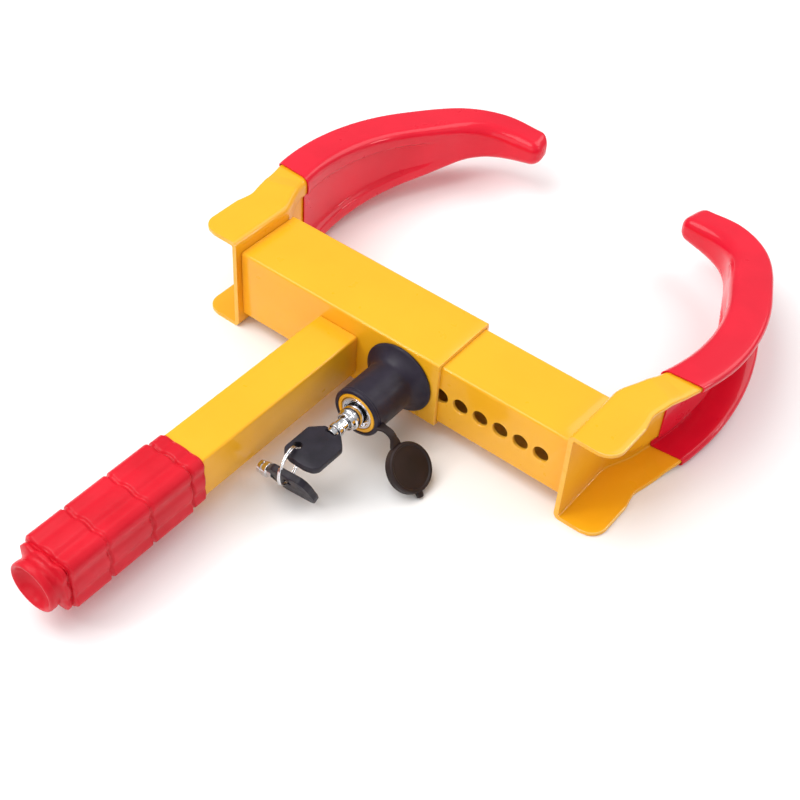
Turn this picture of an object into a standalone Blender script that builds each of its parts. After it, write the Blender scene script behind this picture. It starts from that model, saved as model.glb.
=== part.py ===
"""Telescoping claw wheel clamp: a square bar with two hooked arms, a gripped handle and a push lock.

Bar frame, in millimetres: X runs along the bar from its closed end, Y points back towards the tyre,
Z is up, and the origin is on the bar's axis at the closed end.  The finished part is moved so that
its own origin is the centre of the outer tube's back face.
"""
import math

import bmesh
import bpy
from mathutils import Matrix, Vector

MM = 0.001
GAP = 0.3               # running gap between touching pieces

# Bar
BAR = 50.0              # outer tube, across its flats
BAR_WALL = 2.3
BAR_LENGTH = 153.7
RAIL = 44.8             # inner tube, across its flats
RAIL_WALL = 2.0
RAIL_LENGTH = 155.0
RAIL_SHOWN = 90.3       # length of the inner tube outside the outer tube
TUBE_CORNER = 1.6
HOLE_PITCH = 14.2
HOLE_RADIUS = 5.2
HOLES_LEFT_OF_LOCK = 2
HOLES_RIGHT_OF_LOCK = 7

# Arms, each a pressed channel with its web towards the tyre
SHEET = 3.0
ARM_HALF_HEIGHT = 34.3
ARM_FRONT = -29.2       # y of the arm's front edge
BEND_RADIUS = 5.5
ARM_FOLD_REACH = 9.5    # from the fold in the web to the sections on either side of it
ROOT_FLARE = 24.5       # degrees outwards
MAIN_TURN = 49.5        # degrees back inwards
MAIN_RADIUS = 149.0
HOOK_TURN = 53.5
HOOK_RADIUS = 47.0
SKIN_START_Y = 50.0     # where the dipped skin begins
SKIN = 1.0
SKIN_GAP = 0.25
TIP_HALF_HEIGHT = 7.0
PANEL_DEPTH = 3.2       # stamped panel along the web

# Handle
HANDLE = 30.0
HANDLE_WALL = 2.0
HANDLE_X = 78.8
HANDLE_Z = -3.0
HANDLE_END = -256.0
GRIP_START = -158.0
GRIP_HALF = 18.4
GRIP_RIB_PITCH = 30.5
GRIP_END = -269.0

# Lock, along -Y from the bar's front face
LOCK_X = 126.5
SLEEVE_LENGTH = 41.3
SLEEVE_OUTER = 13.2
SLEEVE_INNER = 11.0
BOOT_RADIUS = 16.0
BOOT_FLARE = 23.5
HOUSING_OUTER = 10.7
HOUSING_BORE = 7.3
PLUNGER_RADIUS = 7.0
PLUNGER_FRONT = 51.0
PLUNGER_BACK = 15.5
BOLT_RADIUS = 4.2
BOLT_TIP = -1.9
CORE_RADIUS = 4.9
STOP_PIN_AT = 30.0
LOCK_TRAVEL = 10.0
KEY_TUBE_OUTER = 4.05
KEY_TUBE_INNER = 3.0
KEY_HEAD_START = 61.4
KEY_HEAD_LENGTH = 31.6
KEY_HEAD_WIDTH = 25.6
KEY_HEAD_THICK = 4.4
KEY_HOLE_RADIUS = 3.3

# Key ring and spare key
RING_RADIUS = 11.5
RING_WIRE = 0.75
RING_HOLE_ALONG = 22.0      # ring hole in the key in the lock, from the start of its head
RING_HOLE_ACROSS = -7.6
RING_OUT = Vector((0.2, -0.98, 0.0))
RING_CENTRE_OUT = 9.8
RING_CENTRE_DOWN = 5.4
SPARE_HOLE_ALONG = 15.6
SPARE_HOLE_ACROSS = 4.0
SPARE_AXIS = Vector((1.0, 0.0, 0.12)).normalized()
SPARE_NORMAL = Vector((0.02, -0.92, -0.39))
SPARE_SHAFT = 8.0

# Dust cap
CAP_RADIUS = 15.4
CAP_DEPTH = 6.0
CAP_WALL = 2.0
CAP_PIVOT = Vector((144.6, -63.4, -4.0))
CAP_CENTRE = Vector((167.0, -63.4, -19.1))
CAP_TILT = 45.0             # degrees the cap's face leans towards +X

YELLOW = ((0.90, 0.50, 0.03, 1.0), 0.32, 0.0)
RED = ((0.75, 0.02, 0.03, 1.0), 0.35, 0.0)
BLACK = ((0.02, 0.02, 0.022, 1.0), 0.55, 0.0)
CHROME = ((0.75, 0.75, 0.77, 1.0), 0.12, 1.0)
STEEL = ((0.50, 0.50, 0.52, 1.0), 0.35, 1.0)

PART_ORIGIN = Vector((BAR_LENGTH / 2, BAR / 2, 0.0))


# Scene helpers

def clear_scene():
    for old in list(bpy.data.objects):
        bpy.data.objects.remove(old, do_unlink=True)


def make_material(name, look):
    colour, roughness, metallic = look
    material = bpy.data.materials.new(name)
    material.use_nodes = True
    shader = material.node_tree.nodes["Principled BSDF"]
    shader.inputs["Base Color"].default_value = colour
    shader.inputs["Roughness"].default_value = roughness
    shader.inputs["Metallic"].default_value = metallic
    return material


def make_frame(name, point, parent=None):
    """An empty at a point of the bar frame; what moves together hangs from one."""
    frame = bpy.data.objects.new(name, None)
    bpy.context.collection.objects.link(frame)
    base = parent["bar_point"] if parent else PART_ORIGIN
    frame["bar_point"] = tuple(point)
    frame.location = (Vector(point) - Vector(base)) * MM
    frame.parent = parent
    return frame


def add_object(name, mesh_builder, frame, look, smooth=True):
    """Turn a bmesh in bar-frame millimetres into a named object under a frame."""
    mesh = bpy.data.meshes.new(name)
    bmesh.ops.recalc_face_normals(mesh_builder, faces=mesh_builder.faces)
    mesh_builder.transform(Matrix.Translation(-Vector(frame["bar_point"])))
    mesh_builder.transform(Matrix.Scale(MM, 4))
    mesh_builder.to_mesh(mesh)
    mesh_builder.free()
    if smooth:
        mesh.shade_smooth()
        mesh.set_sharp_from_angle(angle=math.radians(35))
    piece = bpy.data.objects.new(name, mesh)
    bpy.context.collection.objects.link(piece)
    piece.parent = frame
    mesh.materials.append(make_material(name + "_finish", look))
    return piece


def cut(target, cutter_builder, name, frame):
    """Subtract a closed bmesh from an object, with the cutter hidden."""
    cutter = add_object(name, cutter_builder, frame, STEEL, smooth=False)
    cutter.hide_render = True
    cutter.display_type = "WIRE"
    modifier = target.modifiers.new(name, "BOOLEAN")
    modifier.operation = "DIFFERENCE"
    modifier.object = cutter


# Shape helpers, all in millimetres

def skin_rings(builder, rings, closed_loop=True):
    """Join a list of equal vertex loops by quads."""
    for first, second in zip(rings, rings[1:]):
        count = len(first)
        for i in range(count if closed_loop else count - 1):
            j = (i + 1) % count
            builder.faces.new((first[i], first[j], second[j], second[i]))


def loft(sections, capped=True):
    """A closed solid through a list of equal point loops."""
    builder = bmesh.new()
    rings = [[builder.verts.new(point) for point in section] for section in sections]
    skin_rings(builder, rings)
    if capped:
        builder.faces.new(rings[0])
        builder.faces.new(rings[-1])
    return builder


def turned(profile, base, steps=28):
    """Turn a closed (distance out, radius) profile about the lock's axis, which runs along -Y."""
    builder = bmesh.new()
    loops = []
    for out, radius in profile:
        loop = []
        if radius < 1e-6:
            loop = [builder.verts.new((base.x, base.y - out, base.z))]
        else:
            for k in range(steps):
                angle = 2 * math.pi * k / steps
                loop.append(builder.verts.new((base.x + radius * math.cos(angle), base.y - out,
                                               base.z + radius * math.sin(angle))))
        loops.append(loop)
    for first, second in zip(loops, loops[1:] + loops[:1]):
        if len(first) == 1 and len(second) == 1:
            continue
        for k in range(steps):
            n = (k + 1) % steps
            if len(first) == 1:
                builder.faces.new((first[0], second[n], second[k]))
            elif len(second) == 1:
                builder.faces.new((first[k], first[n], second[0]))
            else:
                builder.faces.new((first[k], first[n], second[n], second[k]))
    return builder


def rounded_square(half_width, half_height, corner, arc_steps=2):
    """Points of a rounded rectangle about the origin, anticlockwise."""
    points = []
    for quadrant, (sx, sz) in enumerate(((1, 1), (-1, 1), (-1, -1), (1, -1))):
        for k in range(arc_steps + 1):
            angle = math.pi / 2 * (quadrant + k / arc_steps)
            points.append((sx * (half_width - corner) + corner * math.cos(angle),
                           sz * (half_height - corner) + corner * math.sin(angle)))
    return points


def square_tube(start, length, along, across, wall, corner, centre):
    """A hollow square tube; along is 'x' or 'y' and start is its lower end on that axis."""
    builder = bmesh.new()
    outer = rounded_square(across / 2, across / 2, corner)
    inner = rounded_square(across / 2 - wall, across / 2 - wall, corner * 0.5)

    def place(point, distance):
        if along == "x":
            return (distance, centre[0] + point[0], centre[1] + point[1])
        return (centre[0] + point[0], distance, centre[1] + point[1])

    loops = []
    for outline, distance in ((outer, start), (outer, start + length), (inner, start + length), (inner, start)):
        loops.append([builder.verts.new(place(point, distance)) for point in outline])
    skin_rings(builder, loops + loops[:1])
    return builder


def rod(start, end, radius, steps=16):
    """A plain round bar between two points."""
    start, end = Vector(start), Vector(end)
    turn = Vector((0, 0, 1)).rotation_difference(end - start).to_matrix().to_4x4()
    builder = bmesh.new()
    bmesh.ops.create_cone(builder, cap_ends=True, segments=steps, radius1=radius, radius2=radius,
                          depth=(end - start).length, matrix=Matrix.Translation((start + end) / 2) @ turn)
    return builder


def block(low, high):
    builder = bmesh.new()
    bmesh.ops.create_cube(builder, size=1.0)
    for vert in builder.verts:
        for axis in range(3):
            vert.co[axis] = high[axis] if vert.co[axis] > 0 else low[axis]
    return builder


# Arms

class ArmPath:
    """The web's inner face seen from above: straight, flared out, then hooked back in.

    Positions are (outwards, back): outwards is measured away from the jaw, from the bar's end.
    """

    def __init__(self):
        self.points = []
        self.position = [0.0, ARM_FRONT]
        self.heading = 0.0
        self.length = 0.0
        self.stations()

    def mark(self):
        self.points.append((tuple(self.position), self.heading, self.length))

    def advance(self, length):
        self.position[0] -= math.sin(self.heading) * length
        self.position[1] += math.cos(self.heading) * length
        self.length += length

    def line(self, length, steps):
        for _ in range(steps):
            self.advance(length / steps)
            self.mark()

    def fold(self, reach, turn):
        """A sharp fold with a mitred section, far enough from its neighbours for the flanges to clear."""
        self.advance(reach)
        self.heading += math.radians(turn) / 2
        self.mark()
        self.heading += math.radians(turn) / 2
        self.line(reach, 1)

    def arc(self, radius, turn, steps):
        step = math.radians(turn) / steps
        for _ in range(steps):
            middle = self.heading + step / 2
            chord = 2 * radius * math.sin(abs(step) / 2)
            self.position[0] -= math.sin(middle) * chord
            self.position[1] += math.cos(middle) * chord
            self.heading += step
            self.length += radius * abs(step)
            self.mark()

    def stations(self):
        self.mark()
        for length in (1.2, 2.5, 3.5, 9.0, 17.0, 7.0):
            self.line(length, 1)
        self.fold(ARM_FOLD_REACH, -ROOT_FLARE)
        self.arc(MAIN_RADIUS, MAIN_TURN, 9)
        self.line(32.9, 2)
        self.arc(HOOK_RADIUS, HOOK_TURN, 7)
        self.line(15.9, 2)
        self.line(5.0, 1)
        self.line(2.0, 1)


def blend_steps(value, table):
    """Read a smooth curve through a few (position, size) pairs."""
    for (x0, y0), (x1, y1) in zip(table, table[1:]):
        if value <= x1:
            share = max(0.0, (value - x0) / (x1 - x0))
            share = share * share * (3 - 2 * share)
            return y0 + (y1 - y0) * share
    return table[-1][1]


def flange_width(length, total):
    """Depth of the flanges from the web's inner face, at a distance along the arm."""
    return blend_steps(length, ((0.0, 21.0), (3.7, 26.0), (7.2, 28.4), (16.0, 29.5), (31.0, 29.4), (84.0, 23.3),
                                (125.0, 24.0), (210.0, 24.6), (252.0, 21.5), (total - 7.0, 19.5),
                                (total, 17.5)))


def half_height(length, total):
    """Half the channel's height, full at the root and tapering to the tip."""
    taper_start = 70.0
    if length < taper_start:
        return ARM_HALF_HEIGHT
    share = (length - taper_start) / (total - taper_start)
    base = ARM_HALF_HEIGHT - 1.3 * min(1.0, (length - taper_start) / 9.0)
    return base - (base - TIP_HALF_HEIGHT) * share ** 1.22


def panel_depth(length):
    """Depth of the stamped panel, run out at both ends."""
    return PANEL_DEPTH * blend_steps(length, ((58.0, 0.0), (74.0, 1.0), (178.0, 1.0), (214.0, 0.0), (300.0, 0.0)))


def channel_section(half, width, panel):
    """One channel section as (outwards, up) points; the web's inner face is at 0."""
    bend = min(BEND_RADIUS, half * 0.5)
    inside = max(1.0, bend - SHEET)
    shoulder_top = half - bend - min(6.5, half * 0.2)
    shoulder_foot = shoulder_top - min(3.5, half * 0.12)
    bend_mid = bend * (1 - math.sqrt(0.5))
    upper = [
        (panel, shoulder_foot),
        (0.0, shoulder_top),
        (0.0, half - bend),
        (bend_mid, half - bend_mid),
        (bend, half),
        (width - 0.6, half),
        (width, half - 0.6),
        (width, half - SHEET),
        (SHEET + inside, half - SHEET),
        (SHEET, half - SHEET - inside),
        (SHEET, shoulder_top - 1.0),
        (SHEET + panel, shoulder_foot - 1.0),
    ]
    lower = [(outwards, -up) for outwards, up in reversed(upper)]
    return upper + lower


def grow(section, distance):
    """Offset a closed clockwise or anticlockwise section outwards by a distance."""
    area = sum(a[0] * b[1] - b[0] * a[1] for a, b in zip(section, section[1:] + section[:1]))
    side = 1 if area > 0 else -1
    grown = []
    count = len(section)
    for i in range(count):
        before, here, after = section[i - 1], section[i], section[(i + 1) % count]
        normals = []
        for a, b in ((before, here), (here, after)):
            run = (b[0] - a[0], b[1] - a[1])
            size = math.hypot(*run) or 1.0
            normals.append((run[1] / size * side, -run[0] / size * side))
        total = (normals[0][0] + normals[1][0], normals[0][1] + normals[1][1])
        scale = 2 / max(0.5, total[0] ** 2 + total[1] ** 2)
        grown.append((here[0] + total[0] * scale * distance, here[1] + total[1] * scale * distance))
    return grown


def place_section(section, station, jaw_x, side):
    """Stand a section up at a station of the arm; side is -1 for the left arm and 1 for the right."""
    (outwards, back), heading, _ = station
    placed = []
    for depth, up in section:
        reach = outwards + depth * math.cos(heading)
        placed.append((jaw_x + side * reach, back + depth * math.sin(heading), up))
    return placed


def arm_sections(path):
    total = path.points[-1][2]
    sections = []
    for station in path.points:
        length = station[2]
        sections.append(channel_section(half_height(length, total), flange_width(length, total),
                                        panel_depth(length)))
    return sections


def build_arm(path, jaw_x, side):
    """The steel channel, which ends a little short of the skin's closed tip."""
    sections = arm_sections(path)
    return loft([place_section(section, station, jaw_x, side)
                 for section, station in zip(sections[:-1], path.points[:-1])])


def build_arm_skin(path, jaw_x, side):
    """The dipped skin: a thin shell round the channel, open at the root and closed at the tip."""
    sections = arm_sections(path)
    first = next(i for i, station in enumerate(path.points) if station[0][1] > SKIN_START_Y - 6.0)
    builder = bmesh.new()
    outside = []
    inside = []
    for section, station in zip(sections[first:], path.points[first:]):
        loop = place_section(grow(section, SKIN_GAP + SKIN), station, jaw_x, side)
        outside.append([builder.verts.new(point) for point in loop])
    for section, station in zip(sections[first:-1], path.points[first:-1]):
        loop = place_section(grow(section, SKIN_GAP), station, jaw_x, side)
        inside.append([builder.verts.new(point) for point in loop])
    end = path.points[-2]
    (outwards, back), heading, length = end
    past = ((outwards - math.sin(heading) * SKIN_GAP, back + math.cos(heading) * SKIN_GAP), heading, length)
    loop = place_section(grow(sections[-2], SKIN_GAP), past, jaw_x, side)
    inside.append([builder.verts.new(point) for point in loop])
    skin_rings(builder, outside)
    skin_rings(builder, inside)
    skin_rings(builder, [inside[0], outside[0]])
    builder.faces.new(outside[-1])
    builder.faces.new(inside[-1])
    return builder


# Handle grip

def build_grip():
    """Moulded sleeve over the handle: collar, three grooved lengths, and a round dished end."""
    half = GRIP_HALF
    low = half - 1.3
    steps = [(GRIP_START, half - 2.2, 6.0), (GRIP_START - 1.0, half - 1.0, 6.0), (GRIP_START - 9.5, half - 0.8, 6.5),
             (GRIP_START - 10.0, low, 6.5), (GRIP_START - 11.5, low, 6.5)]
    for k in range(3):
        front = GRIP_START - 12.0 - k * GRIP_RIB_PITCH
        steps += [(front, half, 7.0), (front - GRIP_RIB_PITCH + 3.4, half, 7.0)]
        if k < 2:
            steps += [(front - GRIP_RIB_PITCH + 2.9, low, 7.0), (front - GRIP_RIB_PITCH + 0.5, low, 7.0)]
    steps += [(GRIP_END + 13.6, half - 1.0, 7.5), (GRIP_END + 9.4, half - 1.3, 8.5), (GRIP_END + 7.8, half - 3.4, 12.4),
              (GRIP_END + 3.0, half - 2.9, 15.4), (GRIP_END + 0.9, half - 3.1, 15.2), (GRIP_END, half - 4.2, 14.1)]
    builder = bmesh.new()
    arc_steps = 4

    def ring(back, size, corner, steps_per_corner=arc_steps):
        outline = rounded_square(size, size, min(corner, size * 0.995), steps_per_corner)
        return [builder.verts.new((HANDLE_X + across, back, HANDLE_Z + up)) for across, up in outline]

    outside = [ring(*step) for step in steps]
    dish = [ring(GRIP_END + 0.6, 12.4, 12.3), ring(GRIP_END + 4.5, 9.2, 9.1), ring(GRIP_END + 6.0, 4.0, 3.9)]
    skin_rings(builder, outside + dish)
    builder.faces.new(dish[-1])
    pocket = HANDLE / 2 + GAP
    inside = [ring(GRIP_START, pocket, 3.0), ring(HANDLE_END - GAP, pocket, 3.0)]
    skin_rings(builder, inside)
    skin_rings(builder, [inside[0], outside[0]])
    builder.faces.new(inside[-1])
    return builder


# Lock

LOCK_BASE = Vector((LOCK_X, -BAR / 2, 0.0))


def build_boot():
    end = SLEEVE_LENGTH
    bore = SLEEVE_OUTER + GAP
    profile = [(GAP, bore), (GAP, BOOT_FLARE), (1.6, BOOT_FLARE)]
    flare_length = 13.0
    for k in range(1, 6):
        share = k / 5
        drop = 1 - (1 - share) ** 2.2
        profile.append((1.6 + flare_length * share, BOOT_FLARE - (BOOT_FLARE - BOOT_RADIUS) * drop))
    profile += [(end - 2.0, BOOT_RADIUS), (end - 0.4, BOOT_RADIUS - 0.7), (end, BOOT_RADIUS - 1.6), (end, bore)]
    return turned(profile, LOCK_BASE, 32)


def build_sleeve():
    return turned([(GAP, SLEEVE_INNER), (GAP, SLEEVE_OUTER), (SLEEVE_LENGTH - 0.6, SLEEVE_OUTER),
                   (SLEEVE_LENGTH, SLEEVE_OUTER - 0.6), (SLEEVE_LENGTH, SLEEVE_INNER)], LOCK_BASE)


def build_housing():
    shoulder = 2.0
    bolt_bore = BOLT_RADIUS + 0.4
    return turned([(GAP, bolt_bore), (GAP, HOUSING_OUTER), (SLEEVE_LENGTH - 0.9, HOUSING_OUTER),
                   (SLEEVE_LENGTH - 0.3, HOUSING_OUTER - 0.6), (SLEEVE_LENGTH - 0.3, HOUSING_BORE + 1.0),
                   (SLEEVE_LENGTH - 1.2, HOUSING_BORE), (GAP + shoulder, HOUSING_BORE),
                   (GAP + shoulder, bolt_bore)], LOCK_BASE)


def build_plunger():
    cavity = CORE_RADIUS + GAP
    cavity_end = 24.0
    return turned([(BOLT_TIP, 0.0), (BOLT_TIP, BOLT_RADIUS - 0.8), (BOLT_TIP + 0.8, BOLT_RADIUS),
                   (PLUNGER_BACK, BOLT_RADIUS), (PLUNGER_BACK, PLUNGER_RADIUS), (PLUNGER_FRONT - 2.6, PLUNGER_RADIUS),
                   (PLUNGER_FRONT - 2.0, PLUNGER_RADIUS - 0.5), (PLUNGER_FRONT - 0.4, PLUNGER_RADIUS - 0.7),
                   (PLUNGER_FRONT, PLUNGER_RADIUS - 1.1), (PLUNGER_FRONT, cavity), (cavity_end, cavity),
                   (cavity_end, 0.0)], LOCK_BASE)


def build_core():
    front = PLUNGER_FRONT - 0.6
    groove_depth = 8.0
    post = KEY_TUBE_INNER - GAP
    groove = KEY_TUBE_OUTER + 0.35
    return turned([(24.3, 0.0), (24.3, CORE_RADIUS), (front, CORE_RADIUS), (front, groove),
                   (front - groove_depth, groove), (front - groove_depth, post), (front - 0.6, post),
                   (front, post - 0.6), (front, 0.0)], LOCK_BASE, 24)


def build_key_shaft(base, tip, root):
    return turned([(tip, KEY_TUBE_INNER), (tip, KEY_TUBE_OUTER), (root - 3.4, KEY_TUBE_OUTER),
                   (root - 3.0, KEY_TUBE_OUTER + 0.6), (root - 1.4, KEY_TUBE_OUTER + 0.6),
                   (root - 1.0, KEY_TUBE_OUTER - 0.7), (root + 2.2, KEY_TUBE_OUTER - 0.7), (root + 2.2, 0.0),
                   (root - 3.4, 0.0), (root - 4.0, KEY_TUBE_INNER)], base, 20)


def key_outline():
    """The flat head's outline as (along, across) points, with chamfered corners and a notch at its root."""
    half = KEY_HEAD_WIDTH / 2
    notch_half = KEY_TUBE_OUTER - 0.7 + GAP
    notch_depth = 2.8
    return [(0.0, notch_half), (0.0, half - 7.0), (7.0, half), (KEY_HEAD_LENGTH - 4.5, half),
            (KEY_HEAD_LENGTH - 1.5, half - 2.2), (KEY_HEAD_LENGTH, half - 7.5), (KEY_HEAD_LENGTH, -half + 7.5),
            (KEY_HEAD_LENGTH - 1.5, -half + 2.2), (KEY_HEAD_LENGTH - 4.5, -half), (7.0, -half), (0.0, -half + 7.0),
            (0.0, -notch_half), (notch_depth, -notch_half), (notch_depth, notch_half)]


def build_key_head(root, along, across, normal):
    """A flat key head; root is where its head starts on the key's axis."""
    low = []
    high = []
    for reach, side in key_outline():
        point = root + along * reach + across * side
        low.append(point - normal * KEY_HEAD_THICK / 2)
        high.append(point + normal * KEY_HEAD_THICK / 2)
    return loft([low, high])


def build_torus(centre, out, up, radius, wire, steps=28, wire_steps=6):
    """A ring whose plane holds the directions out and up."""
    builder = bmesh.new()
    normal = out.cross(up)
    loops = []
    for k in range(steps):
        angle = 2 * math.pi * k / steps
        spoke = out * math.cos(angle) + up * math.sin(angle)
        loop = []
        for m in range(wire_steps):
            turn = 2 * math.pi * m / wire_steps
            loop.append(builder.verts.new(centre + spoke * (radius + wire * math.cos(turn))
                                          + normal * wire * math.sin(turn)))
        loops.append(loop)
    skin_rings(builder, loops + loops[:1])
    return builder


def build_spring():
    """Return spring between the housing's shoulder and the plunger's back."""
    start = GAP + 2.0 + GAP + 0.6
    end = PLUNGER_BACK - GAP - 0.6
    coil_radius = 5.75
    wire = 0.5
    turns = 4
    steps_per_turn = 12
    wire_steps = 6
    builder = bmesh.new()
    loops = []
    count = turns * steps_per_turn
    for k in range(count + 1):
        angle = 2 * math.pi * k / steps_per_turn
        out = start + (end - start) * k / count
        spoke = Vector((math.cos(angle), 0.0, math.sin(angle)))
        middle = LOCK_BASE + spoke * coil_radius + Vector((0.0, -out, 0.0))
        loop = []
        for m in range(wire_steps):
            turn = 2 * math.pi * m / wire_steps
            offset = spoke * math.cos(turn) * wire + Vector((0.0, -1.0, 0.0)) * math.sin(turn) * wire
            loop.append(builder.verts.new(middle + offset))
        loops.append(loop)
    skin_rings(builder, loops)
    builder.faces.new(loops[0])
    builder.faces.new(loops[-1])
    return builder


# Dust cap

def build_cap():
    """A shallow round cup, open on its underside, with a pull tab on its rim."""
    steps = 28
    builder = turned([(0.0, 0.0), (0.0, CAP_RADIUS - 1.2), (1.2, CAP_RADIUS), (CAP_DEPTH, CAP_RADIUS),
                      (CAP_DEPTH, CAP_RADIUS - CAP_WALL), (CAP_WALL, CAP_RADIUS - CAP_WALL), (CAP_WALL, 0.0)],
                     Vector((0.0, 0.0, 0.0)), steps)
    face_up = Matrix.Rotation(math.radians(90), 4, "X")
    lean = Matrix.Rotation(math.radians(CAP_TILT), 4, "Y")
    builder.transform(Matrix.Translation(CAP_CENTRE) @ lean @ face_up)
    return builder


def build_strap():
    """The flat tether from the boot's front rim to the cap's rim, in one soft curve."""
    lean = math.radians(CAP_TILT)
    inward = Vector((-math.cos(lean), 0.0, math.sin(lean)))
    below = Vector((-math.sin(lean), 0.0, -math.cos(lean)))
    end = CAP_CENTRE + inward * (CAP_RADIUS + 3 * GAP) + below * 2.4
    start = Vector((LOCK_X + BOOT_RADIUS + GAP, CAP_PIVOT.y, -1.5))
    control = [start, start + Vector((6.5, 0.0, 1.0)), end + inward * 3.0 + Vector((0.0, 0.0, 6.0)), end]
    half_width = 2.6
    half_thick = 0.9
    sections = []
    steps = 7
    for k in range(steps + 1):
        t = k / steps
        s = 1 - t
        point = control[0] * s ** 3 + control[1] * 3 * s * s * t + control[2] * 3 * s * t * t + control[3] * t ** 3
        run = ((control[1] - control[0]) * s * s + (control[2] - control[1]) * 2 * s * t
               + (control[3] - control[2]) * t * t).normalized()
        across = Vector((0.0, 1.0, 0.0))
        up = run.cross(across).normalized()
        sections.append([point + across * a * half_width + up * b * half_thick
                         for a, b in ((1, 0.4), (0.8, 1), (-0.8, 1), (-1, 0.4), (-1, -0.4), (-0.8, -1), (0.8, -1),
                                      (1, -0.4))])
    return loft(sections)


# Assembly

def key_hole_cutter(point, normal):
    return rod(point - normal * KEY_HEAD_THICK, point + normal * KEY_HEAD_THICK, KEY_HOLE_RADIUS, 16)


def build_fixed_parts(body):
    tube = add_object("outer_tube", square_tube(0.0, BAR_LENGTH, "x", BAR, BAR_WALL, TUBE_CORNER, (0.0, 0.0)),
                      body, YELLOW)
    front = -BAR / 2
    cut(tube, rod((LOCK_X, front - 1.0, 0.0), (LOCK_X, front + BAR_WALL + 1.0, 0.0), HOLE_RADIUS, 24),
        "bolt_hole_cutter", body)
    path = ArmPath()
    add_object("fixed_arm", build_arm(path, -GAP, -1), body, YELLOW)
    add_object("fixed_arm_skin", build_arm_skin(path, -GAP, -1), body, RED)
    handle_length = -HANDLE_END - BAR / 2 - GAP
    add_object("handle_tube", square_tube(HANDLE_END, handle_length, "y", HANDLE, HANDLE_WALL, 2.2,
                                          (HANDLE_X, HANDLE_Z)), body, YELLOW)
    add_object("handle_grip", build_grip(), body, RED)
    add_object("lock_sleeve", build_sleeve(), body, YELLOW)
    add_object("lock_boot", build_boot(), body, BLACK)
    housing = add_object("lock_housing", build_housing(), body, CHROME)
    pin_foot = LOCK_BASE + Vector((0.0, -STOP_PIN_AT, 0.0))
    up = Vector((0.0, 0.0, 1.0))
    cut(housing, rod(pin_foot + up * (HOUSING_BORE - 1.0), pin_foot + up * (HOUSING_OUTER + 1.0), 1.3, 12),
        "stop_pin_hole_cutter", body)
    add_object("stop_pin", rod(pin_foot + up * 6.2, pin_foot + up * (HOUSING_OUTER - 0.2), 1.0, 10), body, STEEL)
    add_object("return_spring", build_spring(), body, STEEL)
    return path


def build_sliding_parts(path, body):
    end = BAR_LENGTH + RAIL_SHOWN
    rail = add_object("inner_tube", square_tube(end - RAIL_LENGTH, RAIL_LENGTH, "x", RAIL, RAIL_WALL, TUBE_CORNER,
                                                (0.0, 0.0)), body, YELLOW)
    front = -RAIL / 2
    for k in range(-HOLES_LEFT_OF_LOCK, HOLES_RIGHT_OF_LOCK + 1):
        x = LOCK_X + k * HOLE_PITCH
        cut(rail, rod((x, front - 1.0, 0.0), (x, front + RAIL_WALL + 1.0, 0.0), HOLE_RADIUS, 20),
            "rail_hole_cutter", body)
    add_object("sliding_arm", build_arm(path, end + GAP, 1), body, YELLOW)
    add_object("sliding_arm_skin", build_arm_skin(path, end + GAP, 1), body, RED)


def build_lock_parts(plunger_frame, core_frame, key_frame):
    plunger = add_object("lock_plunger", build_plunger(), plunger_frame, CHROME)
    slot_start = STOP_PIN_AT - 1.3
    slot_end = STOP_PIN_AT + LOCK_TRAVEL + 1.3
    cut(plunger, block((LOCK_X - 1.3, -BAR / 2 - slot_end, 6.0), (LOCK_X + 1.3, -BAR / 2 - slot_start, 9.0)),
        "slot_cutter", plunger_frame)
    add_object("lock_core", build_core(), core_frame, CHROME)
    add_object("key_shaft", build_key_shaft(LOCK_BASE, PLUNGER_FRONT - 8.2, KEY_HEAD_START), key_frame, CHROME)
    root = LOCK_BASE + Vector((0.0, -KEY_HEAD_START, 0.0))
    along = Vector((0.0, -1.0, 0.0))
    across = Vector((1.0, 0.0, 0.0))
    normal = Vector((0.0, 0.0, 1.0))
    head = add_object("key_head", build_key_head(root, along, across, normal), key_frame, BLACK)
    hole = root + along * RING_HOLE_ALONG + across * RING_HOLE_ACROSS
    cut(head, key_hole_cutter(hole, normal), "key_hole_cutter", key_frame)
    return hole


def build_spare_key(hole, frame):
    """The second key, hung from the ring by the hole in its head."""
    along = SPARE_AXIS
    normal = (SPARE_NORMAL - along * SPARE_NORMAL.dot(along)).normalized()
    across = normal.cross(along).normalized()
    if across.z < 0:
        across = -across
    root = hole - along * SPARE_HOLE_ALONG - across * SPARE_HOLE_ACROSS
    head = add_object("spare_key_head", build_key_head(root, along, across, normal), frame, BLACK)
    cut(head, key_hole_cutter(hole, normal), "spare_hole_cutter", frame)
    shaft = build_key_shaft(Vector((0.0, 0.0, 0.0)), 0.0, SPARE_SHAFT)
    turn = Matrix(((along.x, across.x, normal.x), (along.y, across.y, normal.y), (along.z, across.z, normal.z)))
    lay_along = turn.to_4x4() @ Matrix.Rotation(math.radians(90), 4, "Z")
    shaft.transform(Matrix.Translation(root - along * SPARE_SHAFT) @ lay_along)
    add_object("spare_key_shaft", shaft, frame, CHROME)


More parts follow.
